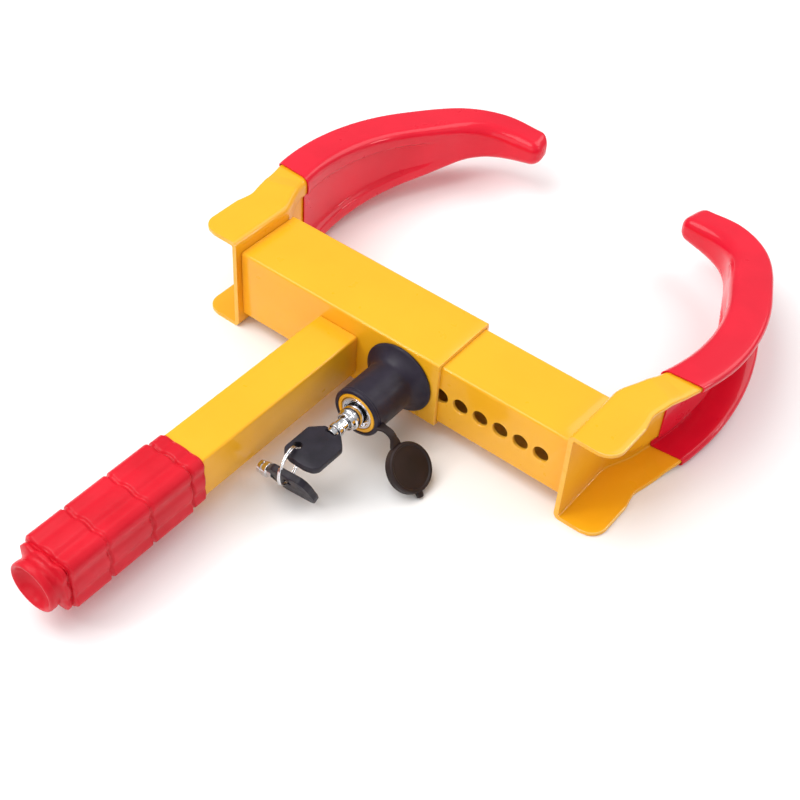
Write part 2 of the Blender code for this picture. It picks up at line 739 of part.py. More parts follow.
def build_all():
    clear_scene()
    body = make_frame("body_frame", (0.0, 0.0, 0.0))
    path = build_fixed_parts(body)
    slide = make_frame("slide_frame", (BAR_LENGTH, 0.0, 0.0), body)
    build_sliding_parts(path, slide)
    plunger_frame = make_frame("plunger_frame", LOCK_BASE, body)
    core_frame = make_frame("core_frame", LOCK_BASE + Vector((0.0, -PLUNGER_FRONT, 0.0)), plunger_frame)
    key_frame = make_frame("key_frame", LOCK_BASE + Vector((0.0, -KEY_HEAD_START, 0.0)), core_frame)
    hole = build_lock_parts(plunger_frame, core_frame, key_frame)
    ring_frame = make_frame("ring_frame", hole, key_frame)
    down = Vector((0.0, 0.0, -1.0))
    centre = hole + RING_OUT.normalized() * RING_CENTRE_OUT + down * RING_CENTRE_DOWN
    add_object("key_ring", build_torus(centre, RING_OUT.normalized(), -down, RING_RADIUS, RING_WIRE), ring_frame,
               CHROME)
    spare_hole = centre + down * RING_RADIUS
    spare_frame = make_frame("spare_key_frame", spare_hole, ring_frame)
    build_spare_key(spare_hole, spare_frame)
    cap_frame = make_frame("cap_frame", CAP_PIVOT, body)
    add_object("dust_cap", build_cap(), cap_frame, BLACK)
    add_object("cap_strap", build_strap(), body, BLACK)


build_all()
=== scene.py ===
"""Wheel clamp: the fine surfaces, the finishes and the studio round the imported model.

Lengths are in millimetres in the bar's own frame, as in the design: X runs along the bar from its
closed end, Y points back towards the tyre and Z is up, from the bar's axis.  place() turns them into
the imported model's metres.
"""
import math

import bmesh
import bpy
from mathutils import Matrix, Vector


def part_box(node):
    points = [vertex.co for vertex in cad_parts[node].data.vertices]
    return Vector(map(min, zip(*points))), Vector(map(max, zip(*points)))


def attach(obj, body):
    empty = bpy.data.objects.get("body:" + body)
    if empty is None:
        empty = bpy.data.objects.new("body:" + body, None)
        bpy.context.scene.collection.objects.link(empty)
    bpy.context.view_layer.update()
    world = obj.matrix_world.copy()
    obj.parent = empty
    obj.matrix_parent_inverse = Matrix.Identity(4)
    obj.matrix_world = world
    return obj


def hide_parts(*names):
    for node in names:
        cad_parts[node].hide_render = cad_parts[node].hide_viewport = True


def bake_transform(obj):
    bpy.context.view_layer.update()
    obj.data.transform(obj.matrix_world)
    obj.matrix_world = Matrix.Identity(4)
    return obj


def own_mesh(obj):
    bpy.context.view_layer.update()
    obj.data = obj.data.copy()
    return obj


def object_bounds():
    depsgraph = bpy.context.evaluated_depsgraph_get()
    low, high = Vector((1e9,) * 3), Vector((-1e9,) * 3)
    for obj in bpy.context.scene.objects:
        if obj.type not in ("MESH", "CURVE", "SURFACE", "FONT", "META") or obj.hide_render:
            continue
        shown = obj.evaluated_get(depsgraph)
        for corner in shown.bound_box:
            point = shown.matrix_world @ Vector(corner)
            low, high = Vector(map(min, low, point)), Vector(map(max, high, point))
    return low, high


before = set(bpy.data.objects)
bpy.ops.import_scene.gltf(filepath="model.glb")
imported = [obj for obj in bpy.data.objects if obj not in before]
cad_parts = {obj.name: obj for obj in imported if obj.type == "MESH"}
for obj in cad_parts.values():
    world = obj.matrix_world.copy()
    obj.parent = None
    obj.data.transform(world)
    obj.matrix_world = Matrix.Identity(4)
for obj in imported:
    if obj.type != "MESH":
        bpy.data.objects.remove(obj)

CAD_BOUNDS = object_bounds()
BAR_LOW, BAR_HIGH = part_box("outer_tube")
BAR_ZERO = Vector((BAR_LOW.x, (BAR_LOW.y + BAR_HIGH.y) / 2, 0.0))
FLOOR_Z = CAD_BOUNDS[0].z
MM = 0.001


def span(node, axis):
    """A node's low and high ends along an axis, in bar-frame millimetres."""
    low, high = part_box(node)
    return (low[axis] - BAR_ZERO[axis]) / MM, (high[axis] - BAR_ZERO[axis]) / MM


# Bar and handle, from the frame
BAR = (BAR_HIGH.z - BAR_LOW.z) / MM
BAR_LENGTH = span("outer_tube", 0)[1]
BAR_WALL = 2.3
RAIL_START, RAIL_END = span("inner_tube", 0)
RAIL = span("inner_tube", 2)[1] * 2
RAIL_WALL = 2.0
TUBE_CORNER = 1.7
HANDLE_LEFT, HANDLE_RIGHT = span("handle_tube", 0)
HANDLE_LOW, HANDLE_HIGH = span("handle_tube", 2)
HANDLE_END, HANDLE_ROOT = span("handle_tube", 1)
HANDLE = HANDLE_RIGHT - HANDLE_LEFT
HANDLE_X = (HANDLE_LEFT + HANDLE_RIGHT) / 2
HANDLE_Z = (HANDLE_LOW + HANDLE_HIGH) / 2
GRIP_END, GRIP_START = span("handle_grip", 1)
GRIP_HALF = 18.4

# Adjustment holes
HOLE_PITCH = 14.2
HOLE_RADIUS = 5.2
HOLES_LEFT_OF_LOCK = 2
HOLES_RIGHT_OF_LOCK = 7

# Arms
GAP = 0.3
SHEET = 3.0
ARM_HALF_HEIGHT = 34.3
ARM_FRONT = -29.2
FOLD_AT = 49.7              # lengths along the web from its front edge
MAIN_BEND_AT = 59.2
HOOK_AT = 220.8
ARM_LENGTH = 287.6
ROOT_FLARE = 24.5
MAIN_TURN = 49.5
MAIN_RADIUS = 149.0
HOOK_TURN = 53.5
HOOK_RADIUS = 47.0
SKIN_AT = 82.0              # where the dipped skin begins
SKIN = 1.25
STEEL_SHORT = 7.0           # the steel stops short of the skin's tip
TIP_HALF_HEIGHT = 7.0
PANEL_DEPTH = 3.4

# Lock
LOCK = Vector(((span("lock_plunger", 0)[0] + span("lock_plunger", 0)[1]) / 2, -BAR / 2, 0.0))
SLEEVE_LENGTH = -BAR / 2 - span("lock_sleeve", 1)[0]
BOOT_FLARE = span("lock_boot", 2)[1]
BOOT_RADIUS = 16.0
KEY_HEAD_START = LOCK.y - span("key_head", 1)[1]
KEY_HEAD_LENGTH = 31.6
KEY_HEAD_WIDTH = 25.6
KEY_HEAD_THICK = 4.4
KEY_HOLE_RADIUS = 3.3
RING_RADIUS = 11.5
RING_OUT = Vector((0.2, -0.98, 0.0)).normalized()
RING_CENTRE_OUT = 9.8
RING_CENTRE_DOWN = 5.4
KEY_HOLE = LOCK + Vector((-7.6, -KEY_HEAD_START - 22.0, 0.0))
RING_CENTRE = KEY_HOLE + RING_OUT * RING_CENTRE_OUT + Vector((0.0, 0.0, -RING_CENTRE_DOWN))
SPARE_AXIS = Vector((1.0, 0.0, 0.12)).normalized()
SPARE_NORMAL = Vector((0.02, -0.92, -0.39))
SPARE_HOLE_ALONG = 15.6
SPARE_HOLE_ACROSS = 4.0
SPARE_SHAFT = 8.0

# Dust cap
CAP_RADIUS = 15.4
CAP_DEPTH = 6.0
CAP_CENTRE = Vector((167.0, -63.4, -19.1))
CAP_TILT = 45.0
CAP_PIVOT = Vector((144.6, -63.4, -4.0))


# Materials

class Finish:
    """A Principled material with helpers for its procedural detail."""

    def __init__(self, name, colour, roughness, metallic=0.0, **sockets):
        self.material = bpy.data.materials.new(name)
        self.material.use_nodes = True
        self.tree = self.material.node_tree
        self.shader = self.tree.nodes["Principled BSDF"]
        self.colour = colour
        self.shader.inputs["Base Color"].default_value = (*colour, 1.0)
        self.shader.inputs["Roughness"].default_value = roughness
        self.shader.inputs["Metallic"].default_value = metallic
        for socket, value in sockets.items():
            self.shader.inputs[socket.replace("_", " ")].default_value = value
        self.place = self.tree.nodes.new("ShaderNodeTexCoord").outputs["Object"]
        self.last_normal = None

    def noise(self, scale, detail=4.0, stretch=None):
        node = self.tree.nodes.new("ShaderNodeTexNoise")
        node.inputs["Scale"].default_value = scale
        node.inputs["Detail"].default_value = detail
        source = self.place
        if stretch:
            mapping = self.tree.nodes.new("ShaderNodeMapping")
            mapping.inputs["Scale"].default_value = stretch
            self.tree.links.new(source, mapping.inputs["Vector"])
            source = mapping.outputs["Vector"]
        self.tree.links.new(source, node.inputs["Vector"])
        return node.outputs["Fac"]

    def ramp(self, source, stops):
        node = self.tree.nodes.new("ShaderNodeValToRGB")
        ramp = node.color_ramp
        ramp.elements[0].position, ramp.elements[0].color = stops[0]
        ramp.elements[1].position, ramp.elements[1].color = stops[-1]
        for position, colour in stops[1:-1]:
            ramp.elements.new(position).color = colour
        self.tree.links.new(source, node.inputs["Fac"])
        return node.outputs["Color"]

    def mix(self, share, first, second):
        node = self.tree.nodes.new("ShaderNodeMix")
        node.data_type = "RGBA"
        for socket, value in ((node.inputs[0], share), (node.inputs[6], first), (node.inputs[7], second)):
            if isinstance(value, bpy.types.NodeSocket):
                self.tree.links.new(value, socket)
            else:
                socket.default_value = value
        return node.outputs[2]

    def vary_colour(self, darker, scale, edge=None):
        """Cloudy variation between two shades, and a painted highlight in patches where an edge stands proud."""
        clouds = self.ramp(self.noise(scale), ((0.35, (*darker, 1.0)), (0.65, (*self.colour, 1.0))))
        if edge:
            # Painted highlight: convex edges, found by pointiness, take the paler edge colour in noisy patches,
            # standing in for the coat's glints on the bends.
            point = self.tree.nodes.new("ShaderNodeNewGeometry").outputs["Pointiness"]
            rim = self.ramp(point, ((0.53, (0.0, 0.0, 0.0, 1.0)), (0.62, (1.0, 1.0, 1.0, 1.0))))
            edge_highlight_share = self.mix(self.noise(260.0, 6.0), (0.0, 0.0, 0.0, 1.0), rim)
            clouds = self.mix(edge_highlight_share, clouds, (*edge, 1.0))
        self.tree.links.new(clouds, self.shader.inputs["Base Color"])

    def vary_roughness(self, low, high, scale, stretch=None):
        greys = ((0.3, (low, low, low, 1.0)), (0.7, (high, high, high, 1.0)))
        grey = self.ramp(self.noise(scale, 5.0, stretch), greys)
        self.tree.links.new(grey, self.shader.inputs["Roughness"])

    def bump(self, scale, strength, distance, detail=3.0, stretch=None):
        node = self.tree.nodes.new("ShaderNodeBump")
        node.inputs["Strength"].default_value = strength
        node.inputs["Distance"].default_value = distance * MM
        self.tree.links.new(self.noise(scale, detail, stretch), node.inputs["Height"])
        if self.last_normal:
            self.tree.links.new(self.last_normal, node.inputs["Normal"])
        self.last_normal = node.outputs["Normal"]
        self.tree.links.new(self.last_normal, self.shader.inputs["Normal"])


def yellow_paint():
    finish = Finish("yellow_paint", (0.93, 0.445, 0.012), 0.30, Specular_IOR_Level=0.22, Coat_Weight=0.45,
                    Coat_Roughness=0.07)
    # The third colour is a painted highlight laid along the proud edges.
    finish.vary_colour((0.90, 0.415, 0.009), 18.0, (1.0, 0.72, 0.22))
    finish.vary_roughness(0.27, 0.38, 90.0)
    finish.bump(420.0, 0.10, 0.25)
    finish.bump(45.0, 0.10, 0.6, 2.0)
    return finish.material


def red_vinyl():
    finish = Finish("red_vinyl", (0.80, 0.008, 0.032), 0.30, Specular_IOR_Level=0.14, Coat_Weight=0.45,
                    Coat_Roughness=0.05)
    finish.vary_colour((0.71, 0.005, 0.026), 22.0)
    finish.vary_roughness(0.26, 0.36, 60.0)
    finish.bump(26.0, 0.12, 0.5, 1.0)
    return finish.material


def red_grip():
    finish = Finish("red_grip", (0.70, 0.010, 0.026), 0.36, Specular_IOR_Level=0.16, Coat_Weight=0.12,
                    Coat_Roughness=0.20)
    finish.vary_colour((0.60, 0.006, 0.018), 30.0)
    finish.vary_roughness(0.30, 0.46, 110.0)
    finish.bump(60.0, 0.22, 0.7, 2.0)
    finish.bump(700.0, 0.12, 0.12)
    return finish.material


def black_rubber(name, colour, roughness):
    finish = Finish(name, colour, roughness, Specular_IOR_Level=0.28)
    finish.vary_colour(tuple(channel * 0.6 for channel in colour), 60.0)
    finish.vary_roughness(roughness - 0.08, roughness + 0.10, 150.0)
    finish.bump(900.0, 0.22, 0.12, 5.0)
    finish.bump(70.0, 0.10, 0.5, 2.0)
    return finish.material


def black_plastic():
    finish = Finish("black_plastic", (0.020, 0.016, 0.026), 0.42, Specular_IOR_Level=0.30)
    finish.vary_colour((0.012, 0.010, 0.016), 120.0)
    finish.vary_roughness(0.36, 0.52, 300.0)
    finish.bump(1400.0, 0.28, 0.08, 5.0)
    return finish.material


def plated(name, colour, low, high):
    finish = Finish(name, colour, low, 1.0)
    finish.vary_colour(tuple(channel * 0.86 for channel in colour), 160.0)
    finish.vary_roughness(low, high, 350.0, (1.0, 0.08, 1.0))
    finish.bump(800.0, 0.05, 0.05)
    return finish.material


YELLOW = yellow_paint()
VINYL = red_vinyl()
GRIP = red_grip()
BOOT = black_rubber("boot_rubber", (0.024, 0.017, 0.033), 0.40)
CAP = black_rubber("cap_rubber", (0.026, 0.014, 0.013), 0.48)
PLASTIC = black_plastic()
CHROME = plated("chrome", (0.80, 0.80, 0.82), 0.06, 0.14)
STEEL = plated("steel", (0.52, 0.52, 0.54), 0.25, 0.40)


# Mesh helpers

def make_piece(name, builder, material, body, slot, *nodes, sharp=38.0):
    """Turn a bmesh in bar-frame millimetres into a finished piece that rides on a body."""
    mesh = bpy.data.meshes.new(name)
    bmesh.ops.remove_doubles(builder, verts=builder.verts, dist=1e-4)
    bmesh.ops.recalc_face_normals(builder, faces=builder.faces)
    builder.transform(Matrix.Translation(BAR_ZERO) @ Matrix.Scale(MM, 4))
    builder.to_mesh(mesh)
    builder.free()
    mesh.shade_smooth()
    mesh.set_sharp_from_angle(angle=math.radians(sharp))
    mesh.materials.append(material)
    piece = bpy.data.objects.new(name, mesh)
    bpy.context.scene.collection.objects.link(piece)
    if body:
        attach(piece, body)
    if nodes:
        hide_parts(*nodes)
    return piece


def skin_rings(builder, rings):
    """Join a list of equal closed vertex loops by quads."""
    for first, second in zip(rings, rings[1:]):
        for i in range(len(first)):
            j = (i + 1) % len(first)
            builder.faces.new((first[i], first[j], second[j], second[i]))


def loft(sections):
    """A lofted solid, closed at both ends."""
    builder = bmesh.new()
    rings = [[builder.verts.new(point) for point in section] for section in sections]
    skin_rings(builder, rings)
    builder.faces.new(rings[0])
    builder.faces.new(rings[-1])
    return builder


def loft_ring(sections):
    """A lofted solid whose last section joins its first, such as a tube with a bore."""
    builder = bmesh.new()
    rings = [[builder.verts.new(point) for point in section] for section in sections]
    skin_rings(builder, rings + rings[:1])
    return builder


def rounded_profile(corners, steps=5):
    """A closed outline from (along, out, radius) corners, each rounded by its own radius."""
    outline = []
    count = len(corners)
    for i, (a, b, radius) in enumerate(corners):
        here = Vector((a, b))
        before = Vector(corners[i - 1][:2])
        after = Vector(corners[(i + 1) % count][:2])
        if radius <= 0.0:
            outline.append(tuple(here))
            continue
        to_before = (before - here).normalized()
        to_after = (after - here).normalized()
        start = here + to_before * radius
        end = here + to_after * radius
        for k in range(steps + 1):
            t = k / steps
            outline.append(tuple(start * (1 - t) ** 2 + here * (2 * t * (1 - t)) + end * t * t))
    return outline


def turned(profile, base, steps=96, matrix=None):
    """Turn a closed (distance out, radius) profile about an axis along -Y through the base."""
    builder = bmesh.new()
    loops = []
    for out, radius in profile:
        if radius < 1e-6:
            loops.append([builder.verts.new((base.x, base.y - out, base.z))] * steps)
            continue
        loop = []
        for k in range(steps):
            angle = 2 * math.pi * k / steps
            loop.append(builder.verts.new((base.x + radius * math.cos(angle), base.y - out,
                                           base.z + radius * math.sin(angle))))
        loops.append(loop)
    for first, second in zip(loops, loops[1:] + loops[:1]):
        for k in range(steps):
            n = (k + 1) % steps
            corners = []
            for vert in (first[k], first[n], second[n], second[k]):
                if vert not in corners:
                    corners.append(vert)
            if len(corners) > 2:
                builder.faces.new(corners)
    if matrix:
        builder.transform(matrix)
    return builder


def rounded_square(half_width, half_height, corner, arc_steps=7):
    points = []
    for quadrant, (sx, sz) in enumerate(((1, 1), (-1, 1), (-1, -1), (1, -1))):
        for k in range(arc_steps + 1):
            angle = math.pi / 2 * (quadrant + k / arc_steps)
            points.append((sx * (half_width - corner) + corner * math.cos(angle),
                           sz * (half_height - corner) + corner * math.sin(angle)))
    return points


def smooth(value):
    value = min(1.0, max(0.0, value))
    return value * value * (3 - 2 * value)


def ease(value, table):
    """Read a smooth curve through a few (position, size) pairs."""
    for (x0, y0), (x1, y1) in zip(table, table[1:]):
        if value <= x1:
            return y0 + (y1 - y0) * smooth((value - x0) / (x1 - x0))
    return table[-1][1]


# Tubes

def tube_sections(start, end, across, wall, along, centre):
    """Sections of a square tube with rounded edges and broken end edges."""
    half = across / 2
    edge = 0.5

    def section(distance, inset, corner):
        points = rounded_square(half - inset, half - inset, max(0.4, corner - inset))
        if along == "x":
            return [(distance, centre[0] + a, centre[1] + b) for a, b in points]
        return [(centre[0] + a, distance, centre[1] + b) for a, b in points]

    count = max(2, int((end - start) / 12.0))
    middle = [start + edge + (end - start - 2 * edge) * k / count for k in range(count + 1)]
    sections = [section(start, edge, TUBE_CORNER), section(start + edge * 0.3, edge * 0.3, TUBE_CORNER)]
    sections += [section(distance, 0.0, TUBE_CORNER) for distance in middle]
    sections += [section(end - edge * 0.3, edge * 0.3, TUBE_CORNER), section(end, edge, TUBE_CORNER)]
    sections += [section(end, wall, TUBE_CORNER), section(start, wall, TUBE_CORNER)]
    return sections


def build_tubes():
    outer = loft_ring(tube_sections(0.0, BAR_LENGTH, BAR, BAR_WALL, "x", (0.0, 0.0)))
    tube = make_piece("outer_tube_steel", outer, YELLOW, "clamp_body", "yellow_paint", "outer_tube")
    drill(tube, [LOCK.x], -BAR / 2, BAR_WALL)
    inner = loft_ring(tube_sections(RAIL_START, RAIL_END, RAIL, RAIL_WALL, "x", (0.0, 0.0)))
    rail = make_piece("inner_tube_steel", inner, YELLOW, "sliding_jaw", "yellow_paint", "inner_tube")
    holes = [LOCK.x + k * HOLE_PITCH for k in range(-HOLES_LEFT_OF_LOCK, HOLES_RIGHT_OF_LOCK + 1)]
    drill(rail, holes, -RAIL / 2, RAIL_WALL)
    handle = loft_ring(tube_sections(HANDLE_END, HANDLE_ROOT, HANDLE, 2.0, "y", (HANDLE_X, HANDLE_Z)))
    make_piece("handle_tube_steel", handle, YELLOW, "clamp_body", "yellow_paint", "handle_tube")


def drill(tube, places, face_y, wall):
    """Cut round holes through a tube's front wall, each with a broken edge."""
    cutter_builder = bmesh.new()
    for x in places:
        base = Vector((x, face_y, 0.0))
        profile = [(0.8, 0.0), (0.8, HOLE_RADIUS + 0.9), (0.0, HOLE_RADIUS + 0.35), (-0.35, HOLE_RADIUS),
                   (-wall - 0.8, HOLE_RADIUS), (-wall - 0.8, 0.0)]
        hole = turned(profile, base, 48)
        mesh = bpy.data.meshes.new("hole")
        hole.to_mesh(mesh)
        hole.free()
        cutter_builder.from_mesh(mesh)
        bpy.data.meshes.remove(mesh)
    cut_away(tube, cutter_builder)


def cut_away(piece, cutter_builder):
    """Cut a bmesh in bar-frame millimetres out of a finished piece."""
    bmesh.ops.recalc_face_normals(cutter_builder, faces=cutter_builder.faces)
    cutter_builder.transform(Matrix.Translation(BAR_ZERO) @ Matrix.Scale(MM, 4))
    mesh = bpy.data.meshes.new("cutter")
    cutter_builder.to_mesh(mesh)
    cutter_builder.free()
    cutter = bpy.data.objects.new("cutter", mesh)
    bpy.context.scene.collection.objects.link(cutter)
    modifier = piece.modifiers.new("cut", "BOOLEAN")
    modifier.operation = "DIFFERENCE"
    modifier.object = cutter
    bpy.context.view_layer.update()
    cut_mesh = bpy.data.meshes.new_from_object(piece.evaluated_get(bpy.context.evaluated_depsgraph_get()))
    piece.modifiers.clear()
    piece.data = cut_mesh
    piece.data.set_sharp_from_angle(angle=math.radians(38.0))
    bpy.data.objects.remove(cutter)


# Arms

def web_heading(length):
    """Direction of the web, in radians, at a length from its front edge; outward flare is negative."""
    flare = -math.radians(ROOT_FLARE) * smooth((length - FOLD_AT + 6.0) / 12.0)
    main_length = MAIN_RADIUS * math.radians(MAIN_TURN)
    main = math.radians(MAIN_TURN) * min(1.0, max(0.0, (length - MAIN_BEND_AT) / main_length))
    hook_length = HOOK_RADIUS * math.radians(HOOK_TURN)
    hook = math.radians(HOOK_TURN) * smooth((length - HOOK_AT + 3.0) / (hook_length + 6.0))
    return flare + main + hook


def section_heading(length):
    """Direction that a section faces: the web's, averaged so that the flanges never fold at the root."""
    reach = 5.0 + 20.0 * smooth(1.0 - abs(length - FOLD_AT) / 36.0)
    count = 13
    return sum(web_heading(length + reach * (2 * k / (count - 1) - 1)) for k in range(count)) / count


def arm_stations(step=1.0):
    """(length, outwards, back, facing) along the web's jaw-side face."""
    outwards, back = 0.0, ARM_FRONT
    stations = []
    count = int(round(ARM_LENGTH / step))
    for k in range(count + 1):
        length = ARM_LENGTH * k / count
        stations.append((length, outwards, back, section_heading(length)))
        heading = web_heading(length + ARM_LENGTH / count / 2)
        outwards -= math.sin(heading) * ARM_LENGTH / count
        back += math.cos(heading) * ARM_LENGTH / count
    return stations


def flange_width(length):
    corner = 11.0
    if length < corner:
        return 29.5 - corner + math.sqrt(max(0.0, corner ** 2 - (corner - length) ** 2))
    return ease(length, ((30.0, 29.5), (84.0, 23.3), (125.0, 24.0), (210.0, 24.6), (252.0, 21.5),
                         (ARM_LENGTH - 7.0, 19.5), (ARM_LENGTH, 18.0)))


def half_height(length):
    taper_start = 70.0
    if length < taper_start:
        return ARM_HALF_HEIGHT
    share = (length - taper_start) / (ARM_LENGTH - taper_start)
    base = ARM_HALF_HEIGHT - 1.3 * min(1.0, (length - taper_start) / 9.0)
    return base - (base - TIP_HALF_HEIGHT) * share ** 1.22


def panel_depth(length):
    return PANEL_DEPTH * ease(length, ((56.0, 0.0), (66.0, 1.0), (168.0, 1.0), (216.0, 0.0), (300.0, 0.0)))


def channel_outline(length, swell, fill=0.0):
    """The channel's section as (outwards, up) points, swollen by the skin's thickness.

    fill closes the channel's open side, from 0, a plain channel, to 1, a solid bar.
    """
    half = half_height(length) + swell
    width = flange_width(length) + 2 * swell
    thick = SHEET + 2 * swell
    bend = min(4.2 + 3.0 * smooth((length - 190.0) / 60.0), half_height(length) * 0.72) + swell
    inside = max(0.4, bend - thick)
    panel = panel_depth(length)
    top = half - bend - min(6.0, half * 0.2)
    foot = top - 2.8
    lip = thick / 2 if swell > 0.5 else 0.9

    def dish(up):
        return panel * (1.0 - smooth((up - foot) / (top - foot)))

    def arc(centre_out, centre_up, radius, start, end, steps):
        points = []
        for k in range(steps + 1):
            angle = math.radians(start + (end - start) * k / steps)
            points.append((centre_out + radius * math.cos(angle), centre_up + radius * math.sin(angle)))
        return points

    rise = [(half - bend) * k / 26 for k in range(26)]
    upper = [(dish(up), up) for up in rise]
    upper += arc(bend, half - bend, bend, 180, 90, 8)
    upper += [(bend + (width - lip - bend) * share, half) for share in (0.25, 0.5, 0.75)]
    upper += arc(width - lip, half - lip, lip, 90, 0, 5)
    upper += arc(width - lip, half - thick + lip, lip, 0, -90, 5)
    back = [(thick + inside + (width - lip - thick - inside) * share, half - thick) for share in (0.75, 0.5, 0.25)]
    back += arc(thick + inside, half - thick - inside, inside, 90, 180, 4)
    fall = max(0.2, half - thick - inside)
    back += [(thick + dish(fall * k / 20), fall * k / 20) for k in range(19, -1, -1)]
    closed = width - 1.6
    upper += [(out + (closed - out) * fill, up) for out, up in back]
    lower = [(out, -up) for out, up in reversed(upper)]
    return [(out - swell, up) for out, up in upper + lower[1:-1]]


def stand_up(outline, station, jaw_x, side, skew=0.0):
    """Place a section at a station; side is -1 for the fixed arm and 1 for the sliding one.

    skew leans the section's outer side back along the arm.
    """
    _, outwards, back, facing = station
    points = []
    for depth, up in outline:
        forward = max(0.0, depth) * skew
        reach = outwards + depth * math.cos(facing) - forward * math.sin(facing)
        points.append((jaw_x + side * reach, back + depth * math.sin(facing) + forward * math.cos(facing), up))
    return points


def shrink(outline, share):
    """Draw a section in towards the middle of its box."""
    out_middle = (min(p[0] for p in outline) + max(p[0] for p in outline)) / 2
    return [(out_middle + (out - out_middle) * share, up * share) for out, up in outline]


def skin_skew(length):
    """Lean of the skin's sections, so that it starts straight across the clamp."""
    return 0.36 * (1.0 - smooth((length - SKIN_AT) / 40.0))


def build_arm(name, jaw_x, side, body, steel_node, skin_node):
    stations = arm_stations()
    steel = [station for station in stations if station[0] <= ARM_LENGTH - STEEL_SHORT]
    builder = loft([stand_up(channel_outline(station[0], 0.0), station, jaw_x, side) for station in steel])
    make_piece(name + "_plate", builder, YELLOW, body, "yellow_paint", steel_node, sharp=50.0)

    covered = [station for station in stations if station[0] >= SKIN_AT]
    round_over = 1.4
    dome = 9.0
    outside = []
    for station in covered:
        length = station[0]
        start_share = min(1.0, (length - SKIN_AT) / round_over)
        swell = GAP + (SKIN - GAP) * math.sqrt(max(0.0, 1 - (1 - start_share) ** 2))
        outline = channel_outline(length, swell, 0.97 * smooth((length - 252.0) / 26.0))
        end_share = (length - (ARM_LENGTH - dome)) / dome
        if end_share > 0.0:
            outline = shrink(outline, math.sqrt(max(0.02, 1 - end_share ** 2.4)))
        outside.append(stand_up(outline, station, jaw_x, side, skin_skew(length)))
    pocket = [station for station in covered if station[0] <= ARM_LENGTH - STEEL_SHORT + 0.6]
    inside = [stand_up(channel_outline(station[0], 0.25), station, jaw_x, side, skin_skew(station[0]))
              for station in pocket]
    builder = bmesh.new()
    outer_rings = [[builder.verts.new(point) for point in section] for section in outside]
    inner_rings = [[builder.verts.new(point) for point in section] for section in inside]
    skin_rings(builder, outer_rings)
    skin_rings(builder, inner_rings)
    skin_rings(builder, [inner_rings[0], outer_rings[0]])
    builder.faces.new(outer_rings[-1])
    builder.faces.new(inner_rings[-1])
    make_piece(name + "_dip", builder, VINYL, body, "red_vinyl", skin_node, sharp=60.0)


# Handle grip

RIB_STARTS = [GRIP_START - 12.0 - k * 30.5 for k in range(3)]


def grip_half(back):
    """Half size of the grip's section and its corner radius at a place along it."""
    half = GRIP_HALF
    if back > GRIP_START - 10.6:
        return half - 0.9, 6.5
    if back > GRIP_END + 13.4:
        return half, 7.0
    if back > GRIP_END + 8.8:
        return half - 1.2, 8.2
    return half - 2.9, 15.3


def groove_depth(back, angle):
    """Depth of the wavy grooves between the grip's lengths."""
    wave = 0.35 * math.cos(8 * angle)
    depth = 0.0
    places = [GRIP_START - 10.8] + [start + 1.0 for start in RIB_STARTS[1:]] + [GRIP_END + 13.0]
    for place in places:
        away = abs(back - place - wave)
        depth = max(depth, 1.35 * (1.0 - smooth((away - 0.5) / 1.3)))
    return depth


def build_grip():
    steps = 176
    builder = bmesh.new()

    def ring(back, half, corner, fluted):
        loop = []
        for k in range(steps):
            angle = 2 * math.pi * k / steps
            flat = half - corner
            cos, sin = math.cos(angle), math.sin(angle)
            reach = corner_reach(flat, corner, cos, sin)
            if fluted:
                valley = ((angle * 4 / math.pi) % 1.0 - 0.5) * math.pi / 4
                reach -= 1.2 * fluted * math.exp(-(valley / 0.165) ** 2)
                reach -= groove_depth(back, angle)
            loop.append(builder.verts.new((HANDLE_X + reach * cos, back, HANDLE_Z + reach * sin)))
        return loop

    rings = []
    body_end = GRIP_END + 9.6
    rings.append(ring(GRIP_START, GRIP_HALF - 2.0, 5.5, 0.6))
    count = 230
    for k in range(count + 1):
        back = GRIP_START - 0.5 - (GRIP_START - 0.5 - body_end) * k / count
        half, corner = grip_half(back)
        start_round = 1.1 * (1.0 - smooth((GRIP_START - back) / 1.6))
        rings.append(ring(back, half - start_round, corner, 1.0))
    shoulder = ((9.0, 2.0, 9.5, 0.7), (8.4, 3.2, 12.0, 0.2), (7.2, 3.5, 13.6, 0.0), (5.2, 3.4, 14.6, 0.0),
                (4.6, 2.95, 15.2, 0.0), (3.6, 2.8, 15.5, 0.0), (1.4, 2.8, 15.5, 0.0), (0.5, 3.1, 15.2, 0.0),
                (0.0, 3.9, 14.4, 0.0), (0.1, 4.8, 13.5, 0.0), (0.8, 5.5, 12.8, 0.0), (2.2, 6.4, 11.9, 0.0),
                (4.4, 8.0, 10.3, 0.0), (6.0, 10.2, 8.1, 0.0), (7.0, 13.0, 5.3, 0.0), (7.3, 16.4, 1.9, 0.0))
    for above_end, inset, corner, fluted in shoulder:
        half = GRIP_HALF - inset
        rings.append(ring(GRIP_END + above_end, half, min(corner, half * 0.995), fluted))
    skin_rings(builder, rings)
    builder.faces.new(rings[-1])
    pocket = HANDLE / 2 + GAP
    inside = [ring(GRIP_START, pocket, 2.6, 0.0), ring(HANDLE_END - GAP, pocket, 2.6, 0.0)]
    skin_rings(builder, inside)
    skin_rings(builder, [inside[0], rings[0]])
    builder.faces.new(inside[-1])
    make_piece("grip_moulding", builder, GRIP, "clamp_body", "red_grip", "handle_grip", sharp=55.0)


def corner_reach(flat, corner, cos, sin):
    """Distance from the centre of a rounded square to its outline, in one direction."""
    across, up = abs(cos), abs(sin)
    full = flat + corner
    hit = full / max(across, up)
    if min(across, up) * hit <= flat:
        return hit
    middle = flat * (across + up)
    return middle + math.sqrt(max(0.0, middle ** 2 - 2 * flat ** 2 + corner ** 2))


# Lock

